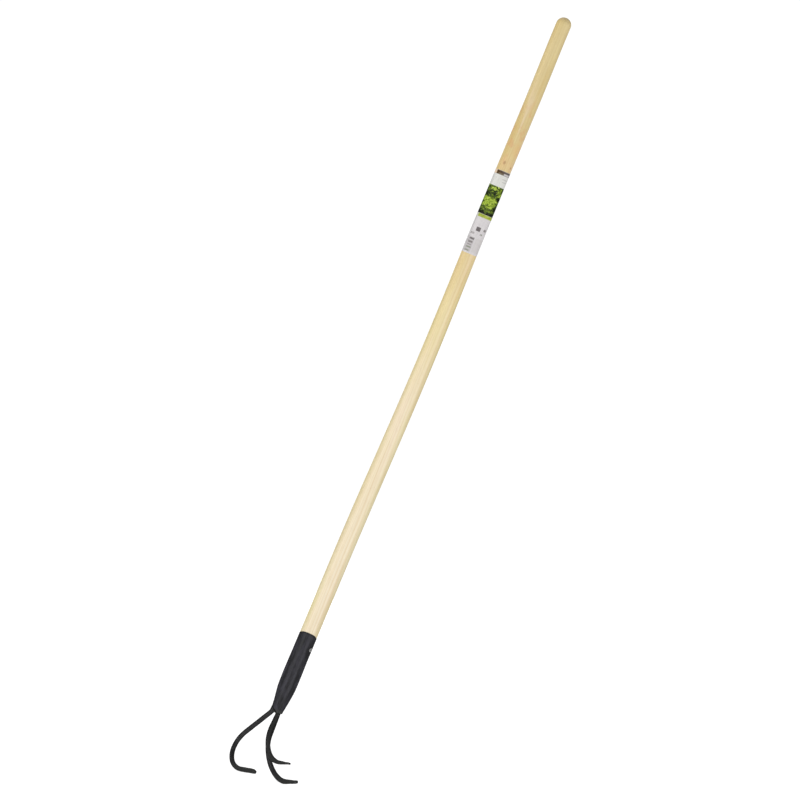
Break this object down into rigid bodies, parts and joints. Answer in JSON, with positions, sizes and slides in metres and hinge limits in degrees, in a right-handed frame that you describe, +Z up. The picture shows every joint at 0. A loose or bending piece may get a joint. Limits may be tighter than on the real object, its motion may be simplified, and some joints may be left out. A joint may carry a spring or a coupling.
{
  "type": "hand rake",
  "caption": "Long-handled garden cultivator with hooked forged tines welded into a tapered steel socket on a round wooden handle.",
  "frame": {"origin": "on the handle's axis where it crosses the plane of the socket's mouth", "axes": "+Z up the handle to its rounded end, +X the way the tips of the tines point, Y across the tines"},
  "size_m": [0.1119, 0.1014, 1.3469],
  "materials": {
    "handle_wood": "sanded, thin clear coat",
    "black_paint": "satin",
    "screw_steel": "zinc plated",
    "label_paper": "printed paper"
  },
  "bodies": {
    "root": {"handle": "handle_wood", "label": "label_paper", "socket": "black_paint", "socket_screw": "screw_steel", "middle_tine": "black_paint", "right_tine": "black_paint", "left_tine": "black_paint", "nose_weld": "black_paint", "side_welds": "black_paint"}
  },
  "joints": []
}
